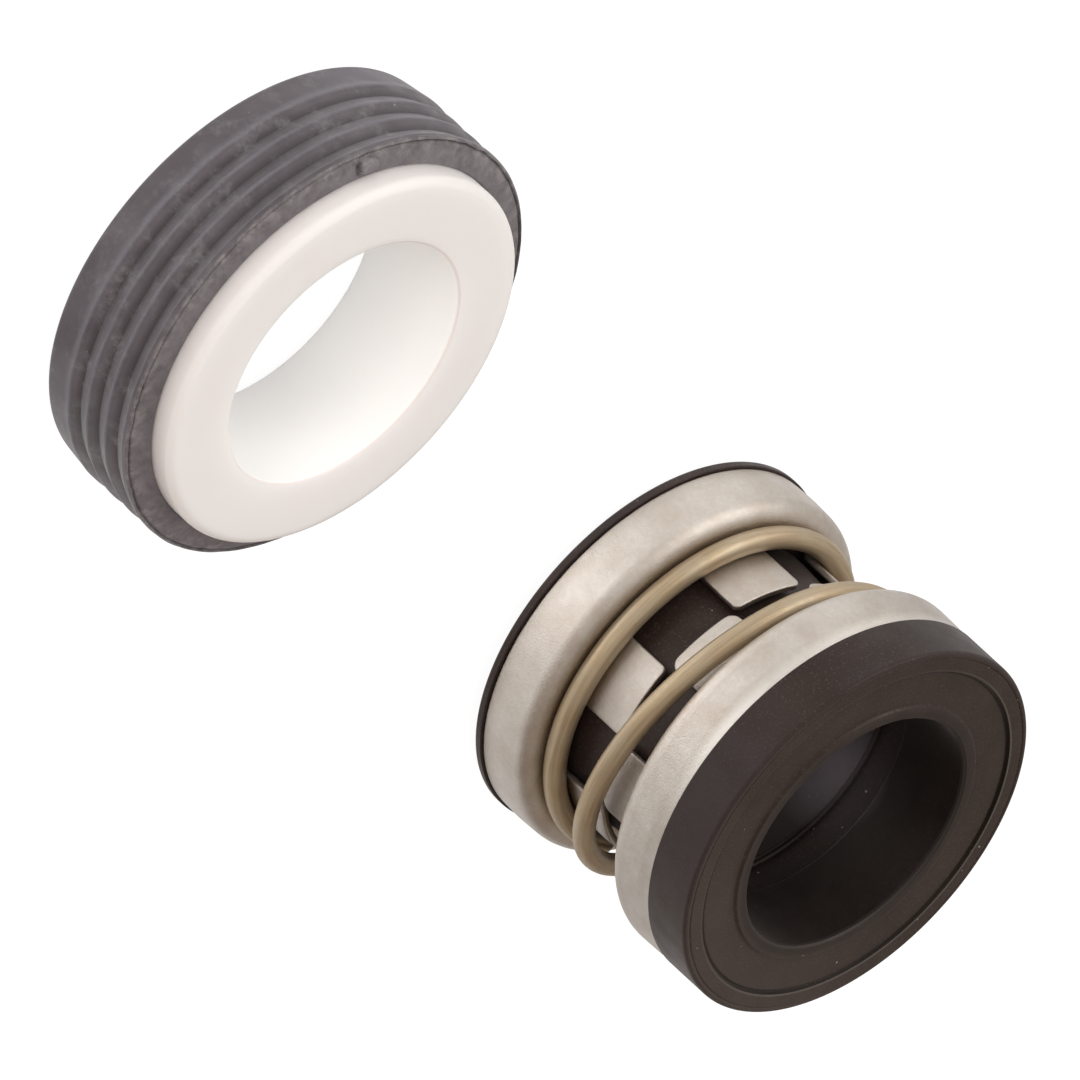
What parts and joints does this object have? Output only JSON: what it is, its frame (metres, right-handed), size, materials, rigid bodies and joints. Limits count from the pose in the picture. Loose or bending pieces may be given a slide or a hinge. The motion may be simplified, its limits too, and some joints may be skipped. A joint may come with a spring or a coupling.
{
  "type": "shaft seal",
  "caption": "Mechanical pump shaft seal: a rotating rubber bellows head with a coil spring and steel drive tabs, and a separate ceramic seat in a ribbed rubber cup.",
  "frame": {"origin": "on the shaft axis of the rotating head, in the plane of its carbon running face", "axes": "+Z along the shaft axis from the running face to the rubber tail; -X from the rotating head to the stationary seat, which stands beside it on the same plane"},
  "size_m": [0.0997, 0.0336, 0.0236],
  "materials": {
    "carbon": "lapped carbon graphite",
    "pressed_steel": "satin stainless sheet",
    "bellows_rubber": "matt moulded nitrile rubber",
    "spring_wire": "drawn stainless wire with a tan cast",
    "cup_rubber": "matt moulded nitrile rubber",
    "ceramic": "lapped white alumina"
  },
  "bodies": {
    "seat": {"seat_cup": "cup_rubber", "seat_ring": "ceramic"},
    "head_front": {"primary_ring": "carbon", "retainer": "pressed_steel"},
    "head_tail": {"bellows": "bellows_rubber", "drive_band": "pressed_steel", "spring": "spring_wire"}
  },
  "joints": [
    {"name": "head_spin", "type": "hinge", "parent": "seat", "child": "head_front", "pos_m": [0, 0, 0], "axis": [0, 0, 1], "continuous": true},
    {"name": "head_compression", "type": "slide", "parent": "head_front", "child": "head_tail", "axis": [0, 0, -1], "range_m": [0, 0.003], "stiffness_N_per_m": 2000, "deforming": ["spring", "bellows"]}
  ]
}
